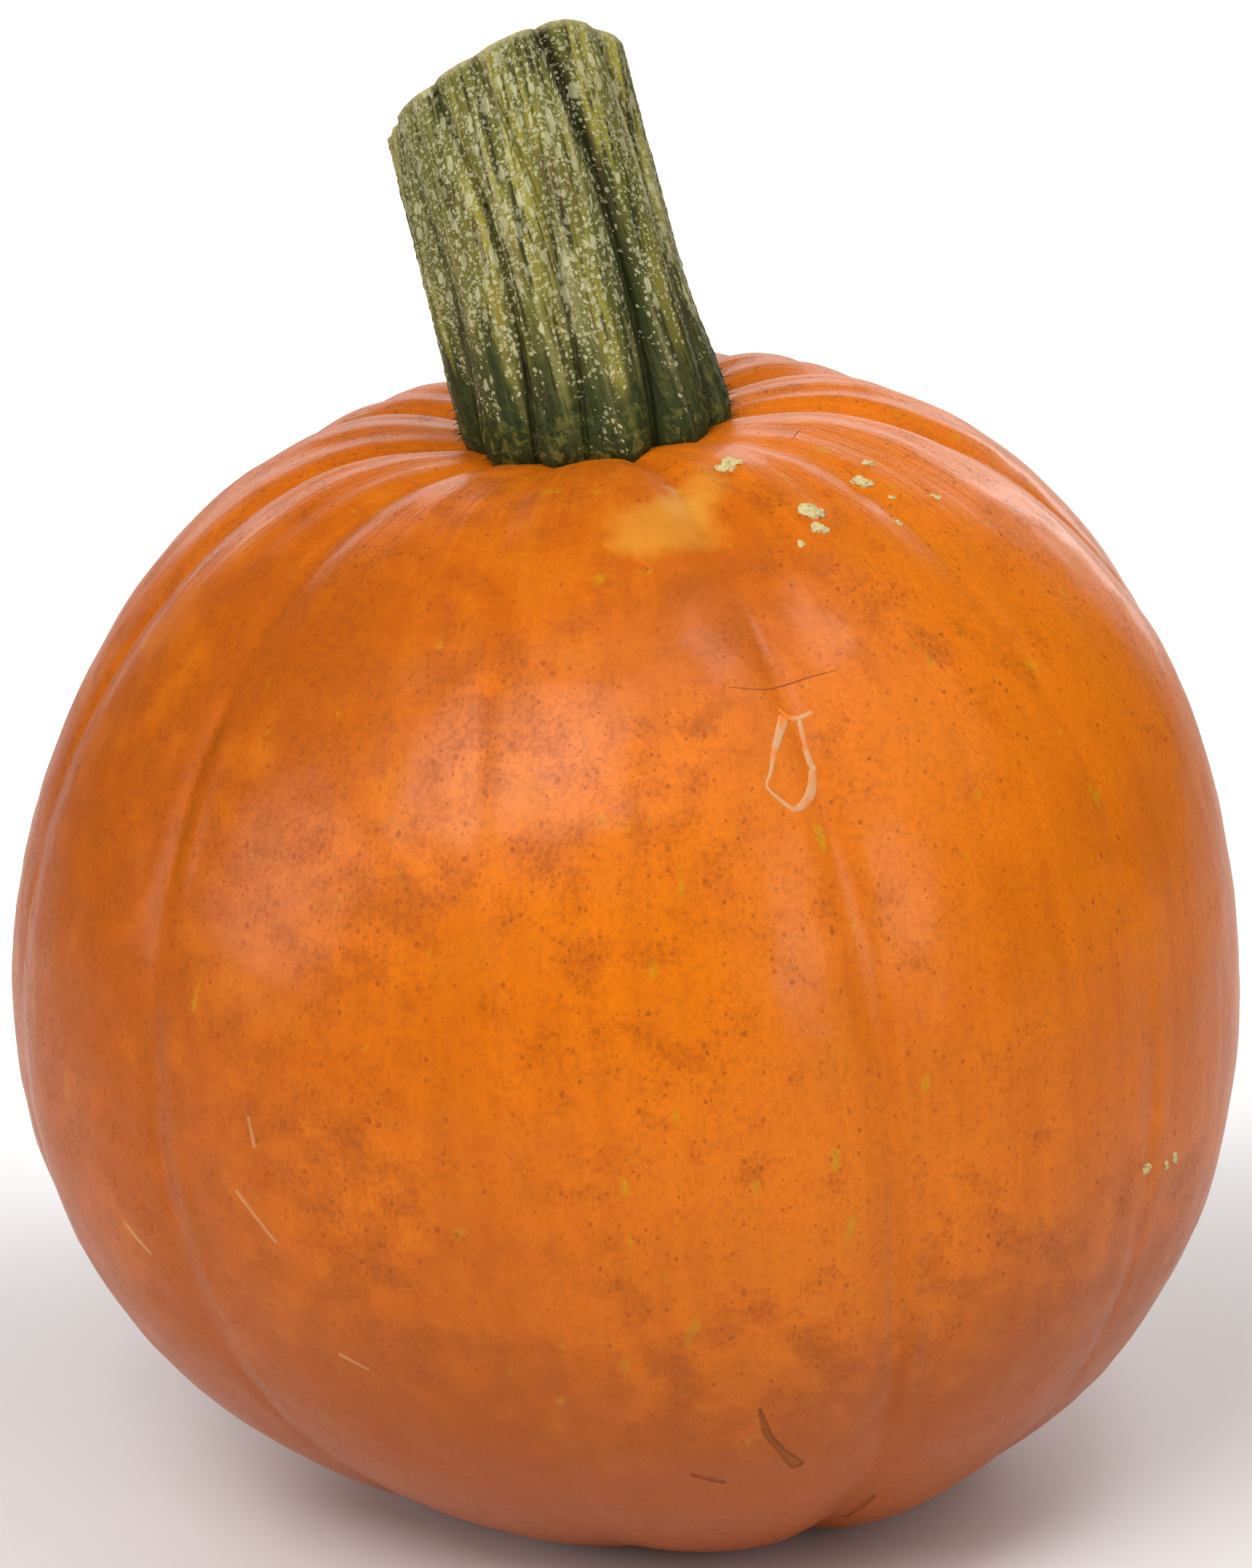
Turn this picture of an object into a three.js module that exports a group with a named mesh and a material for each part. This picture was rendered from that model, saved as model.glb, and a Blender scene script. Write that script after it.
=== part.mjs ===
// A small cooking pumpkin, picked with its stem: a broad ribbed fruit that sits on the flattened
// ring round its blossom end, and the furrowed stem that stands in the hollow at its top.
// Millimetres, +Z up, the floor at Z = 0, and the side that the front view sees towards -Y.
// Both pieces are skins over rings of points, and every point comes from a formula of two angles.

import * as THREE from "three";

const DEGREE = Math.PI / 180;

// The fruit, measured from the middle of its widest ring
const FRUIT_RADIUS = 85.5;
const SHOULDER_HEIGHT = 89.3;
const BASE_HEIGHT = 77.4;
const MIDDLE_ABOVE_FLOOR = 72.8;

// How square the outline is above and below the widest ring, where 2 is an ellipse,
// and how much squarer it is on the +X side than on the -X side
const SHOULDER_FULLNESS = 2.14;
const SHOULDER_FULLNESS_SIDE = 0.045;
const BASE_FULLNESS = 2.18;
const BASE_FULLNESS_SIDE = -0.13;

// The fruit grew leaning: its top is pushed to -X, its base to +X, and its shoulder is higher on +X
const LEAN = 0.092;
const BOW = 4.6;
const LEAN_STARTS_BELOW_MIDDLE = 35;

// Hollows round the stem and round the blossom end, and the corky scar left by the blossom
const STEM_HOLLOW_DEPTH = 11.8;
const STEM_HOLLOW_WIDTH = 29.8;
const STEM_HOLLOW_X = -1.5;
const STEM_HOLLOW_Y = -0.6;
const BLOSSOM_HOLLOW_DEPTH = 6.4;
const BLOSSOM_HOLLOW_WIDTH = 21;
const BLOSSOM_SCAR_RADIUS = 5;
const BLOSSOM_SCAR_HEIGHT = 1.3;

// Each groove between two lobes: its direction, in degrees from the front (-Y) towards +X,
// and its depth as a share of the usual depth
const GROOVES = [
  [-77, 1.15],
  [-46, 1.1],
  [-10, 0.5],
  [25, 1.25],
  [56, 0.55],
  [96, 1.2],
  [131, 0.85],
  [168, 1.1],
  [205, 0.7],
  [244, 1.0],
];
const GROOVE_DEPTH = 1.15;
const GROOVE_DEPTH_AT_SHOULDER = 1.3;
const GROOVE_DEPTH_AT_BASE = 0.7;
const GROOVES_START_AT_RADIUS = 24;
const GROOVE_DRIFT_TO_STEM = -8 * DEGREE;

// How much of the shoulder's grooves and pleats shows at the sides, and how much more at the back
// and less at the front
const SHOULDER_RELIEF = 0.62;
const SHOULDER_RELIEF_BACK = 0.45;

// Fine pleats that run down the shoulder from the stem, three to a lobe
const PLEAT_DEPTH = 0.35;
const PLEATS_PER_LOBE = 3;

// Broad unevenness of a grown thing, as waves that run round it and down it:
// height, waves round, their turn, waves down, their shift
const SWELLS = [
  [0.9, 2, 4, 2, 0],
  [1.02, 3, -0.6, 3, 0.5],
  [0.82, 1, -1.36, 4, 0],
];

// The stem, whose sections are level: its height above its seat, its lean and its slanting cut
const STEM_RADIUS = 17.6;
const STEM_HEIGHT = 49;
const STEM_LEAN_X = -12.3;
const STEM_LEAN_Y = 7;
const STEM_BOW = -0.2;
const CUT_SLOPE_X = 0.47;
const CUT_SLOPE_Y = -0.46;
const CUT_DISH = 1.2;

// The cut droops beyond this distance towards +X, by this much per square millimetre
const CUT_DROOP_START = 7;
const CUT_DROOP = 0.035;

// The stem spreads into rounded toes where it meets the fruit, a little more on the +X side
const TOE_SPREAD = 1.2;
const TOE_SPREAD_SIDE = 0.9;
const TOE_HEIGHT = 13;
const TOE_ROUNDING = 1.5;
const TOE_ROUNDING_HEIGHT = 1.2;
const SEAT_GAP = 0.4;

// Each furrow of the stem: its direction at the seat, in degrees as for the grooves, and its share of depth
const FURROWS = [
  [-63, 0.8],
  [-27, 0.9],
  [-3, 0.7],
  [31, 1.5],
  [66, 0.9],
  [100, 1.1],
  [137, 0.8],
  [173, 1.2],
  [208, 0.8],
  [256, 1.0],
];
const FURROW_DEPTH = 1.5;
const FURROW_DEPTH_AT_SEAT = 0.9;
const FURROW_WANDER = 12 * DEGREE;
const FURROW_DRIFT = -5 * DEGREE;

// Rings and columns of the two skins
const FRUIT_RINGS = 42;
const FRUIT_COLUMNS = 120;
const RINGS_DRAWN_TO_POLES = 0.4;
const STEM_COLUMNS = 60;
const SEAT_RINGS = 3;
const STEM_SIDE_RINGS = 16;
const CUT_RINGS = 2;

const FRONT = -90 * DEGREE;

function smoothStep(value) {
  const t = THREE.MathUtils.clamp(value, 0, 1);
  return t * t * (3 - 2 * t);
}

function bell(value, middle, width) {
  return Math.exp(-(((value - middle) / width) ** 2));
}

// Where an azimuth lies among grooves: how far it is through its lobe, from 0 at one groove
// to 1 at the next, and the strength of the nearer groove.
function placeAmong(grooves, azimuth) {
  const first = grooves[0][0];
  const turned = (azimuth - FRONT) / DEGREE - first;
  const degrees = first + THREE.MathUtils.euclideanModulo(turned, 360);
  const next = grooves.findIndex(([direction]) => direction > degrees);
  const after = next < 0 ? [first + 360, grooves[0][1]] : grooves[next];
  const before = next < 0 ? grooves[grooves.length - 1] : grooves[next - 1];
  const through = (degrees - before[0]) / (after[0] - before[0]);
  return { through, strength: through < 0.5 ? before[1] : after[1] };
}

// 1 at the bottom of a groove, falling to 0 at the crown of the lobe
function grooveProfile(through) {
  const fromGroove = Math.hypot(Math.sin(Math.PI * through), 0.03);
  return Math.max(0, 1 - fromGroove) ** 1.5;
}

function swell(polar, azimuth) {
  let height = 0;
  for (const [size, round, turn, down, shift] of SWELLS) {
    height += size * Math.sin(round * azimuth + turn) * Math.sin(down * polar + shift);
  }
  return height;
}

// A point of the fruit's skin. The polar angle runs from 0 under the stem to PI at the blossom end.
function fruitPoint(polar, azimuth) {
  const sine = Math.sin(polar);
  const cosine = Math.cos(polar);
  const upper = cosine >= 0;
  const side = Math.cos(azimuth);
  const height = upper ? SHOULDER_HEIGHT : BASE_HEIGHT;
  const fullness = upper
    ? SHOULDER_FULLNESS + SHOULDER_FULLNESS_SIDE * side
    : BASE_FULLNESS + BASE_FULLNESS_SIDE * side;
  const outline =
    ((sine / FRUIT_RADIUS) ** fullness + (Math.abs(cosine) / height) ** fullness) ** (-1 / fullness);

  const drift = GROOVE_DRIFT_TO_STEM * Math.max(0, cosine) ** 2;
  const { through, strength } = placeAmong(GROOVES, azimuth - drift);
  const showing = SHOULDER_RELIEF + SHOULDER_RELIEF_BACK * Math.sin(azimuth);
  const groove =
    GROOVE_DEPTH +
    GROOVE_DEPTH_AT_SHOULDER * showing * bell(polar, 35 * DEGREE, 19 * DEGREE) +
    GROOVE_DEPTH_AT_BASE * bell(polar, 145 * DEGREE, 16 * DEGREE);
  const fromAxis = smoothStep((outline * sine) / GROOVES_START_AT_RADIUS);
  const pleats = Math.cos(2 * Math.PI * PLEATS_PER_LOBE * through);
  const pleat = PLEAT_DEPTH * showing * bell(polar, 26 * DEGREE, 14 * DEGREE) * pleats;
  const carved = (groove * strength * grooveProfile(through) + pleat) * fromAxis;
  const reach = outline - carved + swell(polar, azimuth) * sine;

  const radius = reach * sine;
  const level = radius * side;
  const y = radius * Math.sin(azimuth);
  let z = reach * cosine;
  if (upper) {
    const fromHollow = Math.hypot(level - STEM_HOLLOW_X, y - STEM_HOLLOW_Y);
    z -= STEM_HOLLOW_DEPTH * bell(fromHollow, 0, STEM_HOLLOW_WIDTH);
  } else {
    z += BLOSSOM_HOLLOW_DEPTH * bell(radius, 0, BLOSSOM_HOLLOW_WIDTH);
    z -= BLOSSOM_SCAR_HEIGHT * Math.exp(-((radius / BLOSSOM_SCAR_RADIUS) ** 4));
  }
  const x = level + BOW * (z / SHOULDER_HEIGHT) ** 2 - LEAN * z;
  const raised = LEAN * level * smoothStep((z + LEAN_STARTS_BELOW_MIDDLE) / SHOULDER_HEIGHT);
  return new THREE.Vector3(x, y, Math.max(0, z + raised + MIDDLE_ABOVE_FLOOR));
}

// The stem's half width at an azimuth, at a share of its height from its seat to its cut
function stemRadius(azimuth, share) {
  const height = share * STEM_HEIGHT;
  const wander = FURROW_WANDER * Math.sin(Math.PI * share) + FURROW_DRIFT * share;
  const { through, strength } = placeAmong(FURROWS, azimuth - wander);
  const furrow = FURROW_DEPTH + FURROW_DEPTH_AT_SEAT * Math.exp(-height / TOE_HEIGHT);
  const spread = (TOE_SPREAD + TOE_SPREAD_SIDE * Math.cos(azimuth)) * Math.exp(-((height / TOE_HEIGHT) ** 2));
  const rounding = TOE_ROUNDING * Math.exp(-height / TOE_ROUNDING_HEIGHT);
  return STEM_RADIUS - furrow * strength * grooveProfile(through) + spread - rounding;
}

// A point just above the fruit, at a share of the way from the seat's middle to the stem's edge
function seatPoint(azimuth, share) {
  const polar = Math.asin(stemRadius(azimuth, 0) / SHOULDER_HEIGHT);
  const point = fruitPoint(polar * share, azimuth);
  point.z += SEAT_GAP;
  return point;
}

const seatMiddle = seatPoint(0, 0);

// A point of the slanting cut, at a share of the way from its edge to its middle
function cutPoint(azimuth, share) {
  const radius = stemRadius(azimuth, 1) * (1 - share);
  const across = radius * Math.cos(azimuth);
  const back = radius * Math.sin(azimuth);
  const dish = CUT_DISH * smoothStep(share * 1.6);
  const droop = CUT_DROOP * Math.max(0, across - CUT_DROOP_START) ** 2;
  const slope = CUT_SLOPE_X * across + CUT_SLOPE_Y * back - droop;
  const rise = 1 + slope / STEM_HEIGHT;
  return new THREE.Vector3(
    seatMiddle.x + STEM_LEAN_X * rise + across,
    seatMiddle.y + STEM_LEAN_Y * rise + back,
    seatMiddle.z + STEM_HEIGHT + slope - dish,
  );
}

// A point of the stem's side, on the line from its seat to its cut, bowed and furrowed
function sidePoint(azimuth, share) {
  const point = seatPoint(azimuth, 1).lerp(cutPoint(azimuth, 0), share);
  const straight = THREE.MathUtils.lerp(stemRadius(azimuth, 0), stemRadius(azimuth, 1), share);
  const outwards = stemRadius(azimuth, share) - straight;
  point.x += outwards * Math.cos(azimuth) + STEM_BOW * Math.sin(Math.PI * share);
  point.y += outwards * Math.sin(azimuth);
  return point;
}

// A closed skin over rings of points that run from one end point to the other.
// The rings turn anticlockwise seen from the first end, and the faces look outwards.
function closedSkin(firstEnd, rings, lastEnd) {
  const columns = rings[0].length;
  const points = [firstEnd, ...rings.flat(), lastEnd];
  const last = points.length - 1;
  const at = (ring, column) => 1 + ring * columns + (column % columns);
  const faces = [];
  for (let column = 0; column < columns; column++) {
    faces.push(0, at(0, column), at(0, column + 1));
    for (let ring = 0; ring < rings.length - 1; ring++) {
      const [a, b] = [at(ring, column), at(ring, column + 1)];
      const [c, d] = [at(ring + 1, column), at(ring + 1, column + 1)];
      faces.push(a, c, d, a, d, b);
    }
    faces.push(at(rings.length - 1, column), last, at(rings.length - 1, column + 1));
  }
  const geometry = new THREE.BufferGeometry().setFromPoints(points);
  geometry.setIndex(faces);
  geometry.computeVertexNormals();
  return geometry;
}

function ring(columns, pointAt) {
  return Array.from({ length: columns }, (_, column) => pointAt((column * 2 * Math.PI) / columns));
}

function buildFruit() {
  const rings = [];
  for (let row = 1; row < FRUIT_RINGS; row++) {
    const share = row / FRUIT_RINGS;
    const drawn = (RINGS_DRAWN_TO_POLES * Math.sin(2 * Math.PI * share)) / (2 * Math.PI);
    const polar = Math.PI * (share - drawn);
    rings.push(ring(FRUIT_COLUMNS, (azimuth) => fruitPoint(polar, azimuth)));
  }
  const skin = new THREE.MeshStandardMaterial({ color: "#d9701a", roughness: 0.35, metalness: 0 });
  const fruit = new THREE.Mesh(closedSkin(fruitPoint(0, 0), rings, fruitPoint(Math.PI, 0)), skin);
  fruit.name = "fruit";
  return fruit;
}

// The stem's rings run from the middle of its seat, out over the seat, up its side and in over the cut.
function buildStem() {
  const rings = [];
  for (let row = 1; row < SEAT_RINGS; row++) {
    rings.push(ring(STEM_COLUMNS, (azimuth) => seatPoint(azimuth, row / SEAT_RINGS)));
  }
  for (let row = 0; row <= STEM_SIDE_RINGS; row++) {
    const share = (row / STEM_SIDE_RINGS) ** 1.5;
    rings.push(ring(STEM_COLUMNS, (azimuth) => sidePoint(azimuth, share)));
  }
  for (let row = 1; row <= CUT_RINGS; row++) {
    rings.push(ring(STEM_COLUMNS, (azimuth) => cutPoint(azimuth, row / (CUT_RINGS + 1))));
  }
  const geometry = closedSkin(seatMiddle, rings.map((points) => points.reverse()), cutPoint(0, 1));
  const rind = new THREE.MeshStandardMaterial({ color: "#6f7146", roughness: 0.8, metalness: 0 });
  const stem = new THREE.Mesh(geometry, rind);
  stem.name = "stem";
  return stem;
}

const pumpkin = new THREE.Group();
pumpkin.add(buildFruit(), buildStem());

export default pumpkin;
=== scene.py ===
import math

import bpy
from bpy.props import FloatProperty, FloatVectorProperty, PointerProperty
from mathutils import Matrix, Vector


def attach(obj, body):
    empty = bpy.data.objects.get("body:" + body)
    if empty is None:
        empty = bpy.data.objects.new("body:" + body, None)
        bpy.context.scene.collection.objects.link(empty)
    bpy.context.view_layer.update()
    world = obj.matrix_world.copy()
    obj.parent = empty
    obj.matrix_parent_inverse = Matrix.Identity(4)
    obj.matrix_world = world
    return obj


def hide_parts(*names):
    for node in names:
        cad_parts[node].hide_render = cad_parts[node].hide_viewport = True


bl_info = {
    "name": "Cooking pumpkin",
    "version": (1, 0, 0),
    "blender": (4, 5, 0),
    "location": "3D View > Sidebar > Pumpkin",
    "description": "Grows a ribbed pumpkin with its stem and sets up its studio",
    "category": "Add Mesh",
}

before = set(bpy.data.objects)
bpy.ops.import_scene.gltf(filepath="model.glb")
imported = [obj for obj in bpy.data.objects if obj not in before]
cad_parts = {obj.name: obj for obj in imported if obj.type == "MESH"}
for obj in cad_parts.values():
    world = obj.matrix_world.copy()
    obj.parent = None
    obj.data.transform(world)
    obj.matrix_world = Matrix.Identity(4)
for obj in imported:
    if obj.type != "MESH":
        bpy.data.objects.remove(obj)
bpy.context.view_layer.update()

MM = 0.001
DEGREE = math.pi / 180
FULL_TURN = 2 * math.pi

# How square the fruit's outline is above and below its widest ring, where 2 is an ellipse, and how
# much squarer it is on the +X side
SHOULDER_FULLNESS, SHOULDER_FULLNESS_SIDE = 2.14, 0.045
BASE_FULLNESS, BASE_FULLNESS_SIDE = 2.18, -0.13

# How the fruit leans, its hollows at the stem and the blossom end, and its scar there, in mm
LEAN = 0.092
BOW = 4.6
LEAN_STARTS_BELOW_MIDDLE = 35
STEM_HOLLOW_DEPTH = 11.8
STEM_HOLLOW_WIDTH = 29.8
STEM_HOLLOW_X, STEM_HOLLOW_Y = -1.5, -0.6
BLOSSOM_HOLLOW_DEPTH = 6.4
BLOSSOM_HOLLOW_WIDTH = 21
BLOSSOM_SCAR_HEIGHT = 1.3
BLOSSOM_SCAR_RADIUS = 5

# The grooves: how much deeper they are at the shoulder and the base, as shares of their depth,
# where they start, in mm from the axis, and how they turn towards the stem
GROOVE_EXTRA_AT_SHOULDER = 1.13
GROOVE_EXTRA_AT_BASE = 0.61
GROOVES_START_AT_RADIUS = 24
GROOVE_DRIFT_TO_STEM = -8 * DEGREE
PLEATS_PER_LOBE = 3

# How much of the shoulder's relief shows at the sides, and how much more at the back
SHOULDER_RELIEF, SHOULDER_RELIEF_BACK = 0.62, 0.45

# The stem in mm: the ring that its patterns lie on, its lean, the slant, droop and dish of its cut
STEM_RING = 17
STEM_LEAN_Y = 7
STEM_BOW = -0.2
CUT_SLOPE_X, CUT_SLOPE_Y = 0.47, -0.46
CUT_DROOP_START, CUT_DROOP = 7, 0.035
CUT_DISH = 1.2
TOE_HEIGHT = 13
SEAT_DEPTH = 0.7

# Shares of the stem's rows, from the middle of its seat to the middle of its cut
SEAT_ENDS = 0.08
CUT_STARTS = 0.84

# How finely the two pieces are meshed
FRUIT_COLUMNS, FRUIT_ROWS = 384, 256
STEM_COLUMNS, STEM_ROWS = 288, 220

# Each groove of the fruit: degrees from the front (-Y) towards +X, and its share of the usual depth
GROOVES = [
    (-77, 1.15), (-46, 1.1), (-10, 0.5), (25, 1.25), (56, 0.55),
    (96, 1.2), (131, 0.85), (168, 1.1), (205, 0.7), (244, 1.0),
]

# Each furrow of the stem, told in the same way
FURROWS = [
    (-63, 0.8), (-27, 0.9), (-3, 0.7), (31, 1.5), (66, 0.9),
    (100, 1.1), (137, 0.8), (173, 1.2), (208, 0.8), (256, 1.0),
]

# Broad unevenness of the fruit: size in mm, waves round, their turn, waves down, their shift
SWELLS = [
    (0.9, 2, 4.0, 2, 0.0),
    (1.02, 3, -0.6, 3, 0.5),
    (0.82, 1, -1.36, 4, 0.0),
]

# Marks on the skin, each point told as degrees from the front towards +X and degrees above level,
# both seen from the middle of the fruit. Crusts also tell their half width, and strips their whole
# width, in mm.
SCABS = [
    (24.0, 67.5, 1.2), (26.6, 68.2, 1.3), (55.5, 63.5, 0.9), (49.3, 61.8, 1.4), (32.7, 59.2, 1.7),
    (31.9, 57.2, 1.2), (51.1, 59.1, 0.5), (58.9, 57.3, 0.6), (27.7, 55.9, 0.5), (47.4, 56.3, 0.5),
    (56.3, -7.7, 0.9), (60.0, -8.4, 0.7), (61.5, -8.2, 0.8),
]
DRIP = [
    [(18.1, 40.3, 1.6), (16.4, 37.5, 1.0), (15.5, 35.5, 0.5), (14.9, 34.3, 0.4), (16.1, 33.1, 0.5),
     (17.5, 32.1, 0.8)],
    [(19.8, 39.9, 0.7), (19.9, 37.3, 0.8), (20.2, 35.5, 1.2), (19.8, 34.0, 1.5), (18.9, 32.8, 1.5),
     (17.4, 32.1, 0.6)],
    [(17.7, 41.0, 0.4), (18.8, 40.2, 0.8), (19.9, 40.1, 0.7), (21.4, 40.4, 0.6)],
]
HEALED_SCRATCHES = [
    [(12.2, 43.1, 0.08), (16.3, 42.8, 0.16), (18.9, 43.1, 0.2), (22.4, 43.4, 0.16), (25.5, 43.5, 0.08)],
    [(60.8, 71.4, 0.1), (56.4, 71.1, 0.16), (52.0, 70.5, 0.1)],
]
GOUGE = [(13.5, -23.9), (14.9, -27.5), (18.7, -32.0)]
CUTS = [
    [(7.6, -32.6), (11.1, -34.1)],
    [(35.0, -50.0), (33.7, -43.0)],
]
SCRATCHES = [
    [(-36.3, -4.4), (-32.5, -8.4)],
    [(-34.6, 3.0), (-34.0, 0.5)],
    [(-52.6, -12.1), (-50.0, -14.5)],
    [(-27.6, -19.8), (-25.0, -21.0)],
]
YELLOW_PATCHES = [(7.3, 60.8), (18.6, 66.6)]

# Where the skin is darker and the speckles crowd, and on the lower half also painted shade: direction as
# above, and reach in mm
DARK_MOTTLE_AND_SHADE = [
    (-38, 48, 34), (-62, 8, 40), (-30, -38, 34), (48, -32, 30),
    (20, 52, 16), (52, -38, 42), (4, -52, 34),
]
SKIN_RADIUS = 85

# The middle of a painted shadow deep in one furrow of the stem, on its ring
SHADOWED_VALLEY = (10.9, -13.0, 0)

FRUIT_MIDDLE = Vector((0, 0, 0.073))


class Socket:
    """A node's output that Python's operators can reckon with."""

    def __init__(self, tree, output):
        self.tree = tree
        self.output = output

    def other(self, name):
        """Another output of the same node."""
        return Socket(self.tree, self.output.node.outputs[name])

    def __add__(self, value):
        return self.tree.math("ADD", self, value)

    __radd__ = __add__

    def __sub__(self, value):
        return self.tree.math("SUBTRACT", self, value)

    def __rsub__(self, value):
        return self.tree.math("SUBTRACT", value, self)

    def __mul__(self, value):
        return self.tree.math("MULTIPLY", self, value)

    __rmul__ = __mul__

    def __truediv__(self, value):
        return self.tree.math("DIVIDE", self, value)

    def __rtruediv__(self, value):
        return self.tree.math("DIVIDE", value, self)

    def __pow__(self, value):
        return self.tree.math("POWER", self, value)

    def __neg__(self):
        return self.tree.math("MULTIPLY", self, -1)

    def __abs__(self):
        return self.tree.math("ABSOLUTE", self)

    def __gt__(self, value):
        return self.tree.math("GREATER_THAN", self, value)


class Tree:
    """A node tree, for a shape or for a material, that is written as expressions."""

    def __init__(self, node_tree):
        self.nodes = node_tree.nodes
        self.links = node_tree.links

    def node(self, kind, settings=None, inputs=None, output=0):
        """Add a node, set it up, feed its sockets, and return one of its outputs."""
        node = self.nodes.new(kind)
        for name, value in (settings or {}).items():
            if name == "points":
                set_points(node.mapping, value)
            else:
                setattr(node, name, value)
        for name, value in (inputs or {}).items():
            if isinstance(value, Socket):
                self.links.new(value.output, node.inputs[name])
            else:
                node.inputs[name].default_value = value
        return Socket(self, node.outputs[output]) if node.outputs else None

    def math(self, operation, *values):
        return self.node("ShaderNodeMath", {"operation": operation}, dict(enumerate(values)))

    def vector(self, operation, *values):
        """Vector maths. A length, distance or dot product comes back as a number."""
        output = 1 if operation in ("LENGTH", "DISTANCE", "DOT_PRODUCT") else 0
        return self.node("ShaderNodeVectorMath", {"operation": operation}, dict(enumerate(values)), output)

    def scaled(self, vector, factor):
        return self.node("ShaderNodeVectorMath", {"operation": "SCALE"}, {0: vector, "Scale": factor})

    def mix(self, factor, first, second):
        """Mix two colours."""
        inputs = {0: factor, 6: opaque(first), 7: opaque(second)}
        return self.node("ShaderNodeMix", {"data_type": "RGBA"}, inputs, 2)

    def smooth(self, value, low, high):
        """0 below low and 1 above high, with a smooth step between."""
        inputs = {"Value": value, "From Min": low, "From Max": high}
        return self.node("ShaderNodeMapRange", {"interpolation_type": "SMOOTHSTEP"}, inputs)

    def part_way(self, value, low, high):
        """0 below low and 1 above high, with a straight line between."""
        return self.node("ShaderNodeMapRange", {}, {"Value": value, "From Min": low, "From Max": high})

    def bell(self, value, middle, width):
        away = (value - middle) / width
        return self.math("EXPONENT", -(away * away))

    def noise(self, place, size, detail=2.0, roughness=0.5, distortion=0.0):
        """Cloudy noise about 0.5, whose blotches have the given size in the units of place."""
        inputs = {"Vector": place, "Scale": 1 / size, "Detail": detail, "Roughness": roughness,
                  "Distortion": distortion}
        return self.node("ShaderNodeTexNoise", {}, inputs)

    def cells(self, place, size):
        """Distance from the nearest of many scattered points, in shares of the given size."""
        return self.node("ShaderNodeTexVoronoi", {}, {"Vector": place, "Scale": 1 / size})

    def combine(self, x, y, z):
        return self.node("ShaderNodeCombineXYZ", {}, {"X": x, "Y": y, "Z": z})

    def split(self, vector):
        x = self.node("ShaderNodeSeparateXYZ", {}, {"Vector": vector})
        return x, x.other("Y"), x.other("Z")

    def curve(self, value, points):
        """A line drawn through points, for values from 0 to 1."""
        return self.node("ShaderNodeFloatCurve", {"points": points}, {"Value": value})


def set_points(mapping, points):
    line = mapping.curves[0].points
    while len(line) < len(points):
        line.new(1.0, 1.0)
    for point, (x, y) in zip(line, points):
        point.location = (x, y)
        point.handle_type = "VECTOR"
    mapping.update()


# Shape of the fruit


def among(tree, lines, azimuth):
    """How far an azimuth is through its lobe, 0 at one groove and 1 at the next, and the strength there."""
    count = len(lines)
    first = lines[0][0]
    turn = tree.math("FRACT", azimuth / FULL_TURN + (90 - first) / 360)
    starts = [((degrees - first) / 360, index / count) for index, (degrees, _) in enumerate(lines)]
    lobe = tree.curve(turn, starts + [(1.0, 1.0)])
    strongest = max(strength for _, strength in lines)
    shares = [(index / count, strength / strongest) for index, (_, strength) in enumerate(lines)]
    strength = tree.curve(lobe, shares + [(1.0, lines[0][1] / strongest)]) * strongest
    return tree.math("FRACT", lobe * count), strength


def groove_profile(tree, through):
    """1 at the bottom of a groove, falling to 0 at the crown of the lobe."""
    across = tree.math("SINE", through * math.pi)
    away = tree.math("SQRT", across * across + 0.0009)
    return tree.math("MAXIMUM", 1 - away, 0) ** 1.5


def swell(tree, polar, azimuth):
    height = 0
    for size, around, turn, down, shift in SWELLS:
        wave = tree.math("SINE", azimuth * around + turn) * tree.math("SINE", polar * down + shift)
        height = height + wave * size
    return height


def shoulder_relief(tree, azimuth):
    return SHOULDER_RELIEF + SHOULDER_RELIEF_BACK * tree.math("SINE", azimuth)


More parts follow.
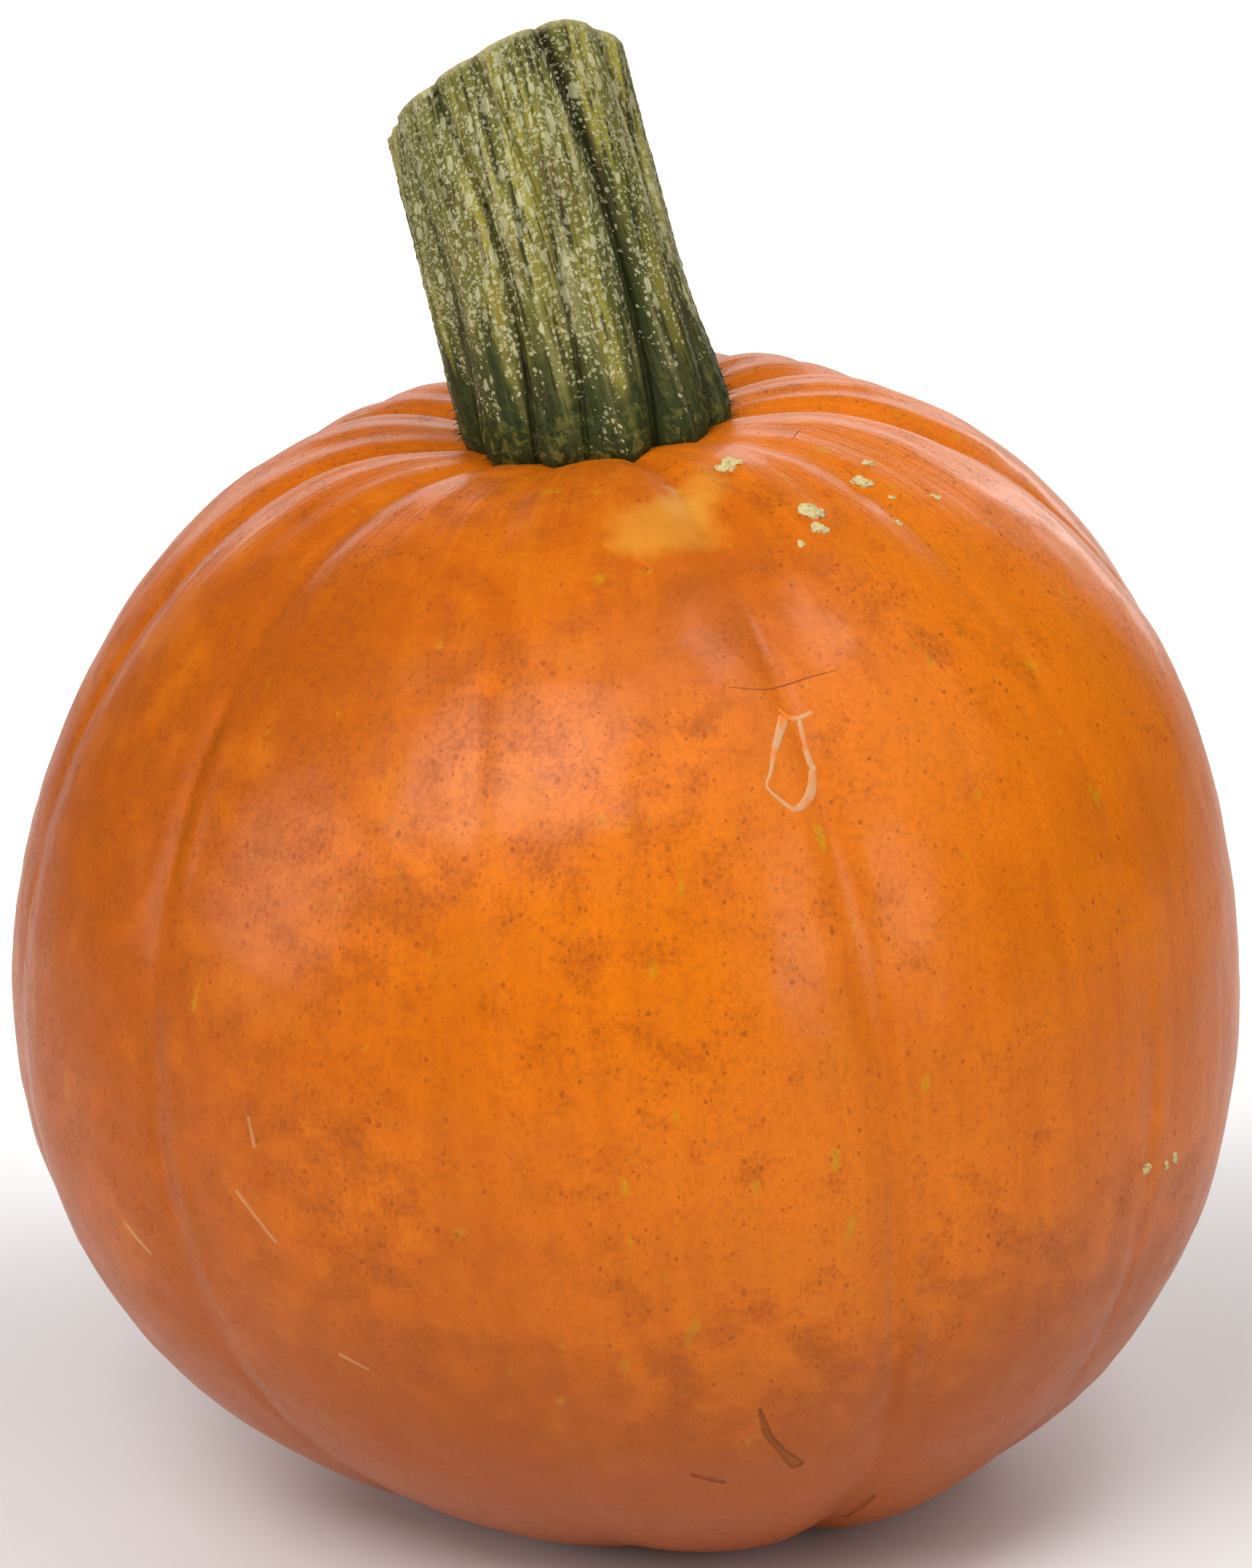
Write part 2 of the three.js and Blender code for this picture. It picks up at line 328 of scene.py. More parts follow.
def fruit_point(tree, size, polar, azimuth):
    """The skin's point in mm at two angles, how near it is to a groove, and its turn through its lobe."""
    sine = tree.math("MAXIMUM", tree.math("SINE", polar), 0.00001)
    cosine = tree.math("COSINE", polar)
    side = tree.math("COSINE", azimuth)
    upper = cosine > 0
    shoulder = size["Shoulder height"]
    height = size["Base height"] + (shoulder - size["Base height"]) * upper
    fullness = (SHOULDER_FULLNESS + SHOULDER_FULLNESS_SIDE * side) * upper
    fullness = fullness + (BASE_FULLNESS + BASE_FULLNESS_SIDE * side) * (1 - upper)
    squareness = (sine / size["Fruit radius"]) ** fullness + (abs(cosine) / height) ** fullness
    outline = squareness ** (-1 / fullness)

    drift = tree.math("MAXIMUM", cosine, 0) ** 2 * GROOVE_DRIFT_TO_STEM
    through, strength = among(tree, GROOVES, azimuth - drift)
    near_groove = groove_profile(tree, through) * strength
    at_shoulder = tree.bell(polar, 35 * DEGREE, 19 * DEGREE)
    at_base = tree.bell(polar, 145 * DEGREE, 16 * DEGREE)
    showing = shoulder_relief(tree, azimuth)
    deeper = 1 + GROOVE_EXTRA_AT_SHOULDER * at_shoulder * showing + GROOVE_EXTRA_AT_BASE * at_base
    groove = size["Groove depth"] * deeper
    from_axis = tree.smooth(outline * sine, 0, GROOVES_START_AT_RADIUS)
    pleats = tree.math("COSINE", through * (PLEATS_PER_LOBE * FULL_TURN))
    pleat = tree.bell(polar, 26 * DEGREE, 14 * DEGREE) * pleats * showing * size["Pleat depth"]
    carved = (groove * near_groove + pleat) * from_axis
    reach = outline - carved + swell(tree, polar, azimuth) * sine

    radius = reach * sine
    level = radius * side
    y = radius * tree.math("SINE", azimuth)
    above = reach * cosine
    hollow_x = level - STEM_HOLLOW_X
    hollow_y = y - STEM_HOLLOW_Y
    away = (hollow_x * hollow_x + hollow_y * hollow_y) / (-STEM_HOLLOW_WIDTH * STEM_HOLLOW_WIDTH)
    hollow = tree.math("EXPONENT", away) * STEM_HOLLOW_DEPTH
    dimple = tree.bell(radius, 0, BLOSSOM_HOLLOW_WIDTH) * BLOSSOM_HOLLOW_DEPTH
    scar = tree.math("EXPONENT", -((radius / BLOSSOM_SCAR_RADIUS) ** 4)) * BLOSSOM_SCAR_HEIGHT
    z = above - hollow * upper + (dimple - scar) * (1 - upper)
    tall = z / shoulder
    x = level + BOW * tall * tall - LEAN * z
    raised = LEAN * level * tree.smooth(z + LEAN_STARTS_BELOW_MIDDLE, 0, shoulder)
    lobes = tree.combine(
        tree.math("COSINE", through * FULL_TURN), tree.math("SINE", through * FULL_TURN), strength)
    return x, y, z + raised + size["Middle above floor"], near_groove, lobes


def angles(tree):
    """The two angles of every point of a unit sphere, and its place."""
    place = tree.node("GeometryNodeInputPosition")
    x, y, z = tree.split(place)
    polar = tree.math("ARCCOSINE", tree.math("MINIMUM", tree.math("MAXIMUM", z, -1), 1))
    return polar, tree.math("ARCTAN2", y, x), place


def new_group(name, sizes, start=None):
    """A geometry tree with an input for the mesh it starts from and for each size, and those inputs."""
    group = bpy.data.node_groups.new(name, "GeometryNodeTree")
    group.interface.new_socket("Geometry", in_out="OUTPUT", socket_type="NodeSocketGeometry")
    if start:
        group.interface.new_socket(start, in_out="INPUT", socket_type="NodeSocketGeometry")
    for size, value in sizes.items():
        socket = group.interface.new_socket(size, in_out="INPUT", socket_type="NodeSocketFloat")
        socket.default_value = value
    tree = Tree(group)
    entry = tree.node("NodeGroupInput")
    names = ([start] if start else []) + list(sizes)
    return group, tree, {name: entry.other(name) for name in names}


def ball(tree, columns, rows):
    return tree.node("GeometryNodeMeshUVSphere", {}, {"Segments": columns, "Rings": rows, "Radius": 1.0})


def stored(tree, mesh, values):
    """Keep values on the mesh's points, where its material reads them."""
    for name, value in values.items():
        kind = "FLOAT_VECTOR" if value.output.type == "VECTOR" else "FLOAT"
        inputs = {"Geometry": mesh, "Name": name, "Value": value}
        mesh = tree.node("GeometryNodeStoreNamedAttribute", {"data_type": kind, "domain": "POINT"}, inputs)
    return mesh


def kept(tree, name, kind="FLOAT"):
    """A value that the mesh already keeps."""
    return tree.node("GeometryNodeInputNamedAttribute", {"data_type": kind}, {"Name": name})


def moved(tree, mesh, x, y, z):
    """Put the mesh's points at places in mm."""
    place = tree.scaled(tree.combine(x, y, z), MM)
    return tree.node("GeometryNodeSetPosition", {}, {"Geometry": mesh, "Position": place})


def finished(tree, mesh, material):
    """Close a geometry tree: real meshes, smooth faces, one material."""
    mesh = tree.node("GeometryNodeRealizeInstances", {}, {"Geometry": mesh})
    mesh = tree.node("GeometryNodeSetShadeSmooth", {}, {"Geometry": mesh})
    mesh = tree.node("GeometryNodeSetMaterial", {}, {"Geometry": mesh, "Material": material})
    tree.node("NodeGroupOutput", {}, {"Geometry": mesh})


def grown(name, group, sizes, start=None):
    """Run a geometry tree and keep its result as a plain mesh."""
    piece = bpy.data.objects.new(name, start or bpy.data.meshes.new(name))
    bpy.context.scene.collection.objects.link(piece)
    modifier = piece.modifiers.new("Grow", "NODES")
    modifier.node_group = group
    for item in group.interface.items_tree:
        if item.in_out == "INPUT" and item.name in sizes:
            modifier[item.identifier] = sizes[item.name]
    depsgraph = bpy.context.evaluated_depsgraph_get()
    evaluated = piece.evaluated_get(depsgraph)
    mesh = bpy.data.meshes.new_from_object(evaluated, preserve_all_data_layers=True, depsgraph=depsgraph)
    piece.modifiers.remove(modifier)
    piece.data = mesh
    mesh.name = name
    if not mesh.polygons:
        raise RuntimeError(name + " came out empty")
    return piece


def fruit_sizes(size):
    return {
        "Fruit radius": size.fruit_radius / MM,
        "Shoulder height": size.shoulder_height / MM,
        "Base height": size.base_height / MM,
        "Middle above floor": size.middle_above_floor / MM,
        "Groove depth": size.groove_depth / MM,
        "Pleat depth": size.pleat_depth / MM,
    }


def fruit_group(sizes, material):
    group, tree, size = new_group("Fruit", sizes)
    polar, azimuth, place = angles(tree)
    x, y, z, near_groove, lobes = fruit_point(tree, size, polar, azimuth)
    x, y, z = roughened(tree, x, y, z, polar, azimuth, place)
    growth = tree.combine(tree.math("COSINE", azimuth), tree.math("SINE", azimuth), polar)
    mesh = stored(tree, ball(tree, FRUIT_COLUMNS, FRUIT_ROWS), {
        "groove": near_groove,
        "growth": growth,
        "lobes": lobes,
        "clouds": skin_clouds(tree, tree.combine(x, y, z)),
        "shade": skin_shade(tree, x, place),
        "crease": crease_course(tree, growth, lobes),
    })
    mesh = moved(tree, mesh, x, y, tree.math("MAXIMUM", z, 0))
    finished(tree, mesh, material)
    return group


def skin_clouds(tree, place):
    """Cloudy patterns that the skin's material reads: broad, middling and small."""
    return tree.combine(tree.noise(place, 60, 2), tree.noise(place, 14, 4, 0.62), tree.noise(place, 5, 3))


def skin_shade(tree, x, place):
    """How much darker and browner the skin is, at the left and in a few clouds, which on the lower half are
    partly painted shade.
    """
    shade = tree.part_way(x, 40, -80) * 0.1
    for azimuth, elevation, reach in DARK_MOTTLE_AND_SHADE:
        middle = tuple(direction(azimuth, elevation))
        shade = shade + tree.bell(tree.vector("DISTANCE", place, middle), 0, reach / SKIN_RADIUS) * 0.1
    return shade


def crease_course(tree, growth, lobes):
    """How clearly the crease of a groove shows, and how far it strays to the side in mm."""
    polar = tree.split(growth)[2]
    shown = tree.smooth(polar, 0.62, 0.95) * tree.smooth(polar, 2.4, 1.9)
    shown = shown * tree.smooth(tree.noise(growth, 0.3, 2), 0.3, 0.6) * tree.split(lobes)[2]
    return tree.combine(shown, (tree.noise(growth, 0.12, 2) - 0.5) * 1.5, 0)


def roughened(tree, x, y, z, polar, azimuth, place):
    """Small lumps all over, and fine folds that run down from the stem."""
    lumps = (tree.noise(place, 0.28, 3) - 0.5) * 1.1 + (tree.noise(place, 0.09, 2) - 0.5) * 0.35
    lumps = lumps + (tree.noise(place, 0.06, 2) - 0.5) * 0.09
    around = tree.combine(tree.math("COSINE", azimuth) * 5, tree.math("SINE", azimuth) * 5, polar * 0.8)
    folds = (tree.noise(around, 1.0, 1) - 0.5) * tree.bell(polar, 28 * DEGREE, 15 * DEGREE)
    folds = folds * shoulder_relief(tree, azimuth) * 1.8
    height = (lumps + folds) * tree.smooth(polar, 10 * DEGREE, 22 * DEGREE)
    outwards = tree.vector("NORMALIZE", place)
    nx, ny, nz = tree.split(tree.scaled(outwards, height))
    return x + nx, y + ny, z + nz


# Shape of the stem


def stem_sizes(size):
    sizes = fruit_sizes(size)
    sizes["Stem radius"] = size.stem_radius / MM
    sizes["Stem height"] = size.stem_height / MM
    sizes["Stem lean"] = size.stem_lean / MM
    sizes["Furrow depth"] = size.furrow_depth / MM
    return sizes


def stem_radius(tree, size, azimuth, share):
    """The stem's half width in mm at an azimuth and a share of its height, and two measures of a furrow."""
    height = share * size["Stem height"]
    wander = tree.math("SINE", share * math.pi) * (12 * DEGREE) - share * (5 * DEGREE)
    through, strength = among(tree, FURROWS, azimuth - wander)
    crease = groove_profile(tree, through)
    near_furrow = crease * strength
    furrow = size["Furrow depth"] + 0.9 * tree.math("EXPONENT", -(height / TOE_HEIGHT))
    spread = (1.2 + 0.9 * tree.math("COSINE", azimuth)) * tree.bell(height, 0, TOE_HEIGHT)
    rounding = 1.5 * tree.math("EXPONENT", -(height / 1.2))
    return size["Stem radius"] - furrow * near_furrow + spread - rounding, near_furrow, crease


def stem_group(sizes, material):
    group, tree, size = new_group("Stem", sizes)
    polar, azimuth, _ = angles(tree)
    down = 1 - polar / math.pi
    share = tree.part_way(down, SEAT_ENDS, CUT_STARTS)
    seat_share = tree.math("MINIMUM", down / SEAT_ENDS, 1)
    cut_share = tree.math("MAXIMUM", (down - CUT_STARTS) / (1 - CUT_STARTS), 0)

    sideways = tree.math("COSINE", azimuth)
    backwards = tree.math("SINE", azimuth)
    radius, near_furrow, crease = stem_radius(tree, size, azimuth, share)
    foot, *_ = stem_radius(tree, size, azimuth, share * 0)
    top, *_ = stem_radius(tree, size, azimuth, share * 0 + 1)

    seat_polar = tree.math("ARCSINE", foot / size["Shoulder height"]) * seat_share
    seat_x, seat_y, seat_z, *_ = fruit_point(tree, size, seat_polar, azimuth)
    middle_x, middle_y, middle_z, *_ = fruit_point(tree, size, seat_polar * 0, azimuth * 0)

    cut_radius = top * (1 - cut_share)
    across = cut_radius * sideways
    back = cut_radius * backwards
    droop = CUT_DROOP * tree.math("MAXIMUM", across - CUT_DROOP_START, 0) ** 2
    slope = CUT_SLOPE_X * across + CUT_SLOPE_Y * back - droop
    rise = 1 + slope / size["Stem height"]
    dish = tree.smooth(cut_share, 0, 0.62) * CUT_DISH
    cut_x = middle_x + size["Stem lean"] * rise + across
    cut_y = middle_y + STEM_LEAN_Y * rise + back
    cut_z = middle_z + size["Stem height"] + slope - dish

    bow = tree.math("SINE", share * math.pi) * STEM_BOW
    grain = tree.combine(sideways * STEM_RING, backwards * STEM_RING, share * size["Stem height"])
    outwards = radius - foot - (top - foot) * share + rind_relief(tree, grain, share)
    x = seat_x + (cut_x - seat_x) * share + outwards * sideways + bow
    y = seat_y + (cut_y - seat_y) * share + outwards * backwards
    z = seat_z - SEAT_DEPTH + (cut_z - seat_z + SEAT_DEPTH) * share + fibre_relief(tree, grain, cut_share)

    mesh = stored(tree, ball(tree, STEM_COLUMNS, STEM_ROWS), {
        "furrow": near_furrow,
        "crease": crease,
        "grain": grain,
        "height": share,
        "cut": cut_share,
    })
    mesh = moved(tree, mesh, x, y, z)
    finished(tree, mesh, material)
    return group


def lengthwise(tree, grain, stretch):
    """Places whose noise is drawn out along the stem."""
    return tree.vector("MULTIPLY", grain, (1, 1, stretch))


def rind_relief(tree, grain, share):
    """Fibres that run up the stem and small warts, in mm, none at the seat and less at the rim."""
    ribs = (tree.noise(lengthwise(tree, grain, 0.07), 3.2, 2, distortion=0.6) - 0.5)
    ribs = ribs * (0.5 + tree.smooth(share, 0.1, 0.4))
    fibres = (tree.noise(lengthwise(tree, grain, 0.12), 1.0, 2) - 0.5) * 0.6
    warts = (tree.noise(grain, 0.9, 1) - 0.5) * 0.45
    return (ribs + fibres + warts) * tree.smooth(share, 0.0, 0.08)


def fibre_relief(tree, grain, cut_share):
    """A torn, uneven face where the stem was cut."""
    return (tree.noise(grain, 1.6, 3) - 0.5) * 1.4 * tree.smooth(cut_share, 0.0, 0.1)


# Finishes


def new_material(name):
    """A material's tree, and the place on the piece in mm."""
    material = bpy.data.materials.new(name)
    material.use_nodes = True
    material.node_tree.nodes.clear()
    tree = Tree(material.node_tree)
    place = tree.scaled(tree.node("ShaderNodeTexCoord", output="Object"), 1 / MM)
    return material, tree, place


def attribute(tree, name, output="Fac"):
    return tree.node("ShaderNodeAttribute", {"attribute_name": name}, {}, output)


def coat_with(tree, colour, roughness, height, constants):
    """Finish a material: colour, roughness, and a relief in mm."""
    bump = tree.node("ShaderNodeBump", {}, {"Strength": 1.0, "Distance": MM, "Height": height})
    inputs = {"Base Color": colour, "Roughness": roughness, "Normal": bump, **constants}
    shader = tree.node("ShaderNodeBsdfPrincipled", {}, inputs)
    tree.node("ShaderNodeOutputMaterial", {}, {"Surface": shader})


def opaque(colour):
    """A colour as a socket takes it. One that comes from a node stays as it is."""
    return colour if isinstance(colour, Socket) else (*colour, 1.0)


def lowest(tree, values):
    low = values[0]
    for value in values[1:]:
        low = tree.math("MINIMUM", low, value)
    return low


def line_distance(tree, place, points):
    """Distance in mm from a line through points."""
    distances = []
    for start, end in zip(points, points[1:]):
        along = end - start
        offset = tree.vector("SUBTRACT", place, tuple(start))
        share = tree.vector("DOT_PRODUCT", offset, tuple(along)) / along.length_squared
        share = tree.math("MAXIMUM", tree.math("MINIMUM", share, 1), 0)
        distances.append(tree.vector("DISTANCE", offset, tree.scaled(tuple(along), share)))
    return lowest(tree, distances)


def direction(azimuth, elevation):
    """The unit vector at degrees from the front towards +X, and degrees above level."""
    level = math.cos(elevation * DEGREE)
    turn = azimuth * DEGREE
    return Vector((level * math.sin(turn), -level * math.cos(turn), math.sin(elevation * DEGREE)))


def skin_points(skin, spots):
    """Points of the fruit's skin, in metres, in directions seen from its middle, with their normals."""
    points = []
    for azimuth, elevation, *_ in spots:
        outwards = direction(azimuth, elevation)
        hit, place, normal, _ = skin.ray_cast(FRUIT_MIDDLE + outwards * 0.2, -outwards)
        if not hit:
            raise RuntimeError("a mark misses the fruit")
        points.append((place, normal))
    return points


def mark_points(skin, spots):
    return [place / MM for place, _ in skin_points(skin, spots)]


def speckles(tree, place, patches):
    """Many small soft dots, larger and closer where patches is high, and a faint dust between them."""
    drawn = tree.vector("MULTIPLY", place, (1, 1, 0.75))
    ragged = strayed(tree, drawn, 2.5, 1.0, 0.35)
    dots = dot_layer(tree, ragged, 1.25, patches * 0.5 + 0.05)
    dots = tree.math("MAXIMUM", dots, dot_layer(tree, ragged, 0.85, patches * 0.8 - 0.08))
    dust = tree.smooth(tree.noise(drawn, 0.8, 3, 0.75), 0.42, 0.66) * (0.3 + 0.4 * patches)
    return tree.math("MAXIMUM", dots, dust)


def strayed(tree, place, scale, detail, reach):
    """Places shifted by a noise, so that a pattern of cells looks ragged."""
    inputs = {"Vector": place, "Scale": scale, "Detail": detail}
    shift = tree.node("ShaderNodeTexNoise", {}, inputs, "Color")
    return tree.vector("ADD", place, tree.scaled(shift, reach))


def dot_layer(tree, place, size, crowd):
    """Soft dots. Most are small, and more are large where crowd is high."""
    cell = tree.cells(place, size)
    chosen = tree.node("ShaderNodeSeparateColor", {}, {"Color": cell.other("Color")})
    reach = tree.part_way(chosen + crowd, 0.15, 1.2) * 0.38
    return tree.smooth(reach - cell, 0, 0.14) * (0.4 + 0.6 * chosen.other("Green"))


def crease_relief(tree, growth):
    """A fine crease in each groove, with a low ridge on either side, in mm."""
    cosine, sine, _ = tree.split(attribute(tree, "lobes", "Vector"))
    shown, stray, _ = tree.split(attribute(tree, "crease", "Vector"))
    around = tree.math("ARCTAN2", sine, cosine) * tree.math("SINE", tree.split(growth)[2])
    away = around * (SKIN_RADIUS / len(GROOVES)) + stray
    ridges = tree.bell(away, 3.2, 1.8) * 0.4 + tree.bell(away, -3.4, 2.0) * 0.15
    return (ridges - tree.bell(away, 0, 1.3) * 0.28) * shown


def paint_skin(tree, place, skin, look):
    """The fruit's skin: clouds of orange, speckles, and the marks at their own places."""
    growth = attribute(tree, "growth", "Vector")
    polar = tree.split(growth)[2]
    groove = attribute(tree, "groove")
    broad, clouds, mottle = tree.split(attribute(tree, "clouds", "Vector"))
    # Darker mottling, and on the lower half partly painted shade
    shaded = attribute(tree, "shade")
    patches = tree.smooth(broad * 0.4 + clouds * 0.6 + (mottle - 0.5) * 0.7 + shaded, 0.5, 0.8)
    streaks = tree.noise(tree.vector("MULTIPLY", growth, (30, 30, 3.0)), 1, 3)

    tone = broad * 0.4 + clouds * 0.4 + streaks * 0.2 - shaded * 1.1
    colour = tree.mix(tree.smooth(tone, 0.3, 0.56), look.skin_deep_and_shade, look.skin_orange)
    near_stem = tree.smooth(polar, 0.95, 0.25)
    colour = tree.mix(tree.smooth(clouds, 0.5, 0.3) * 0.3, colour, look.skin_amber)
    colour = tree.mix(tree.smooth(streaks, 0.52, 0.75) * near_stem * 0.35, colour, look.skin_amber)
    # Painted shade: the skin deeper orange in the grooves
    colour = tree.mix(tree.smooth(groove, 0.55, 1.1) * 0.3, colour, look.skin_deep_and_shade)

    flecks = tree.smooth(tree.noise(tree.vector("MULTIPLY", place, (1, 1, 0.45)), 3.2, 1), 0.7, 0.78)
    colour = tree.mix(flecks * 0.55, colour, look.skin_fleck)
    dots = speckles(tree, place, patches)
    colour = tree.mix(patches * 0.55, colour, look.skin_deep_and_shade)
    # Painted shade: the skin darker and browner towards the bottom, laid over real brown mottling
    underside_shade = tree.smooth(polar, 1.5, 2.35)
    brown_mottle_and_shade = tree.smooth(mottle * 0.5 + clouds * 0.5 + shaded * 1.6 + underside_shade * 0.2, 0.56, 0.85)
    colour = tree.mix(brown_mottle_and_shade * 0.45 + underside_shade * 0.38, colour, look.skin_brown_and_shade)
    colour = tree.mix(dots * 0.8, colour, look.speckle)

    for patch in mark_points(skin, YELLOW_PATCHES):
        away = tree.vector("DISTANCE", place, tuple(patch)) + (clouds - 0.5) * 26
        colour = tree.mix(tree.smooth(away, 8.0, 0.0) * 0.4, colour, look.skin_yellow)

    wobble = (mottle - 0.5) * 1.5
    gouge_line = mark_points(skin, GOUGE)
    taper = tree.part_way(tree.split(place)[2], gouge_line[-1].z, gouge_line[0].z) * 0.5
    gouge = tree.smooth(line_distance(tree, place, gouge_line) + wobble + taper, 0.95, 0.3)
    cuts = [line_distance(tree, place, mark_points(skin, cut)) for cut in CUTS]
    cut = tree.smooth(lowest(tree, cuts) + wobble * 0.4, 0.5, 0.12)
    scars = tree.math("MAXIMUM", gouge, cut * 0.8)
    colour = tree.mix(scars * 0.8, colour, look.scar)
    scratches = [line_distance(tree, place, mark_points(skin, line)) for line in SCRATCHES]
    scratch = tree.smooth(lowest(tree, scratches) + wobble * 0.5, 0.4, 0.1) * 0.3
    colour = tree.mix(scratch, colour, look.cork)

    below = tree.math("LESS_THAN", tree.split(place)[2], 20)
    blossom = tree.smooth(polar + (clouds - 0.5) * 0.04, math.pi - 0.10, math.pi - 0.06) * below
    colour = tree.mix(blossom, colour, look.cork)

    roughness = look.skin_roughness + (clouds - 0.5) * 0.16 + dots * 0.12 + scars * 0.4 + blossom * 0.4
    roughness = roughness + near_stem * 0.12
    height = -(scars * 0.55 + scratch * 0.05)
    wrinkles = tree.noise(tree.vector("MULTIPLY", growth, (90, 90, 14)), 1, 2)
    height = height + ((streaks - 0.5) * 0.3 + (wrinkles - 0.5) * 0.16) * near_stem
    height = height + crease_relief(tree, growth)
    coat_with(tree, colour, roughness, height, {
        "Specular IOR Level": 0.18, "Coat Weight": 0.11, "Coat Roughness": 0.12,
    })


def rind_material(look):
    """Dry rind of the stem: dark green at the foot, streaked olive above, with many pale warts, and painted
    shade in its furrows.
    """
    material, tree, _ = new_material("pumpkin_rind")
    grain = attribute(tree, "grain", "Vector")
    furrow = attribute(tree, "furrow")
    height = attribute(tree, "height")
    cut = attribute(tree, "cut")
    wide = tree.noise(lengthwise(tree, grain, 0.05), 3.0, 3, distortion=0.5)
    narrow = tree.noise(lengthwise(tree, grain, 0.08), 0.9, 4, 0.65, distortion=0.4)
    clouds = tree.noise(grain, 6, 4, 0.6)

    ripe = tree.smooth(height + (clouds - 0.5) * 0.4 + (wide - 0.5) * 0.7, 0.06, 0.5)
    colour = tree.mix(ripe, look.stem_green, look.stem_olive)
    yellow = tree.smooth(tree.noise(lengthwise(tree, grain, 0.06), 2.6, 3), 0.50, 0.62) * ripe
    colour = tree.mix(yellow * 0.85, colour, look.stem_yellow)
    dull = tree.smooth(tree.noise(lengthwise(tree, grain, 0.05), 1.7, 4), 0.52, 0.66)
    colour = tree.mix(dull * (0.15 + 0.45 * ripe), colour, look.stem_tan)
    colour = tree.mix(tree.smooth(narrow, 0.50, 0.36) * 0.9, colour, look.stem_fissure_and_shade)
    crease = tree.smooth(attribute(tree, "crease") + (narrow - 0.5) * 0.3, 0.72, 0.95)
    lower = tree.smooth(height, 0.5, 0.1)
    # Painted shade: the furrows and their creases darker, more so low on the stem
    dark = tree.math("MAXIMUM", tree.smooth(furrow, 0.4, 1.0), crease * (0.5 + 0.5 * lower))
    colour = tree.mix(dark * 0.9, colour, look.stem_fissure_and_shade)

    rust = tree.smooth(tree.noise(lengthwise(tree, grain, 0.07), 1.3, 3), 0.58, 0.68) * ripe
    colour = tree.mix(rust * 0.5, colour, look.stem_rust)
    flat_grain = tree.vector("MULTIPLY", grain, (1, 1, 0))
    # Painted shadow: dark green deep in one furrow, about half way up the stem
    valley_shadow = tree.bell(tree.vector("DISTANCE", flat_grain, SHADOWED_VALLEY), 0, 5.5)
    valley_shadow = valley_shadow * tree.bell(height, 0.42, 0.24)
    colour = tree.mix(valley_shadow * 0.75, colour, look.stem_green)

    rows = tree.noise(lengthwise(tree, grain, 0.12), 1.6, 2)
    low = tree.smooth(height + (clouds - 0.5) * 0.2, 0.26, 0.04)
    colour = tree.mix(low * 0.7, colour, look.stem_green)
    net = tree.smooth(tree.noise(grain, 1.6, 5, 0.65, distortion=0.8), 0.5, 0.62) * (1 - dark)
    colour = tree.mix(net * low * 0.7, colour, look.stem_olive)
    crowd = 0.15 - low * 0.45 + tree.smooth(rows * 0.45 + clouds * 0.3 + ripe * 0.2, 0.26, 0.6)
    crowd = crowd - dark * 0.3 - valley_shadow * 0.3
    middling = wart_dots(tree, grain, 0.75, crowd)
    fine = tree.math("MAXIMUM", middling, wart_dots(tree, grain, 0.48, crowd - 0.1))
    coarse = wart_dots(tree, lengthwise(tree, grain, 0.55), 1.35, crowd - 0.25)
    warts = tree.math("MAXIMUM", fine, coarse) * (0.45 + 0.55 * tree.smooth(narrow, 0.3, 0.55))
    colour = tree.mix(warts * 0.8, colour, look.stem_pale)

    rim = tree.smooth(height, 0.975, 1.0)
    face = tree.smooth(cut, 0.0, 0.06)
    fibres = tree.noise(grain, 1.4, 3)
    dry = tree.mix(tree.smooth(fibres, 0.4, 0.65), look.stem_tan, look.cork)
    colour = tree.mix(tree.math("MAXIMUM", rim * 0.6, face), colour, dry)
    pith = tree.smooth(cut + (clouds - 0.5) * 0.3, 0.6, 0.85)
    colour = tree.mix(pith * 0.7, colour, look.scar)

    roughness = 0.55 + (clouds - 0.5) * 0.2 + face * 0.2
    relief = warts * 0.1 + (narrow - 0.5) * 0.7 - crease * 0.5 + fibres * face * 0.4
    coat_with(tree, colour, roughness, relief, {"Specular IOR Level": 0.2})
    return material


def wart_dots(tree, place, size, crowd):
    """Round warts, more and larger where crowd is high."""
    cell = tree.cells(strayed(tree, place, 1.2, 2.0, 0.9), size)
    chosen = tree.node("ShaderNodeSeparateColor", {}, {"Color": cell.other("Color")})
    reach = tree.smooth(chosen + crowd, 0.7, 1.6)
    return tree.smooth(reach * 0.46 - cell, 0, 0.12) * (0.5 + 0.5 * chosen.other("Green"))


def cork_material(look):
    material, tree, place = new_material("pumpkin_cork")
    grain = tree.noise(place, 0.5, 3, 0.7)
    colour = tree.mix(tree.smooth(grain, 0.28, 0.45), look.scar, look.cork)
    coat_with(tree, colour, 0.75 + grain * 0.1, grain * 0.1, {"Specular IOR Level": 0.2})
    return material


def sap_material(look):
    """Dried sap: a thin, clear, slightly pink skin."""
    material, tree, place = new_material("pumpkin_sap")
    grain = tree.noise(place, 4, 3)
    colour = tree.mix(tree.smooth(grain, 0.3, 0.5), look.skin_orange, look.sap)
    coat_with(tree, colour, 0.25 + grain * 0.2, grain * 0.05, {"Specular IOR Level": 0.4})
    return material


def scratch_material(look):
    """The dry, dark seam of a healed scratch."""
    material, tree, place = new_material("pumpkin_scratch")
    grain = tree.noise(place, 0.8, 2)
    colour = tree.mix(grain, look.speckle, look.scar)
    coat_with(tree, colour, 0.6 + grain * 0.1, grain * 0.05, {})
    return material


# Small pieces on the skin


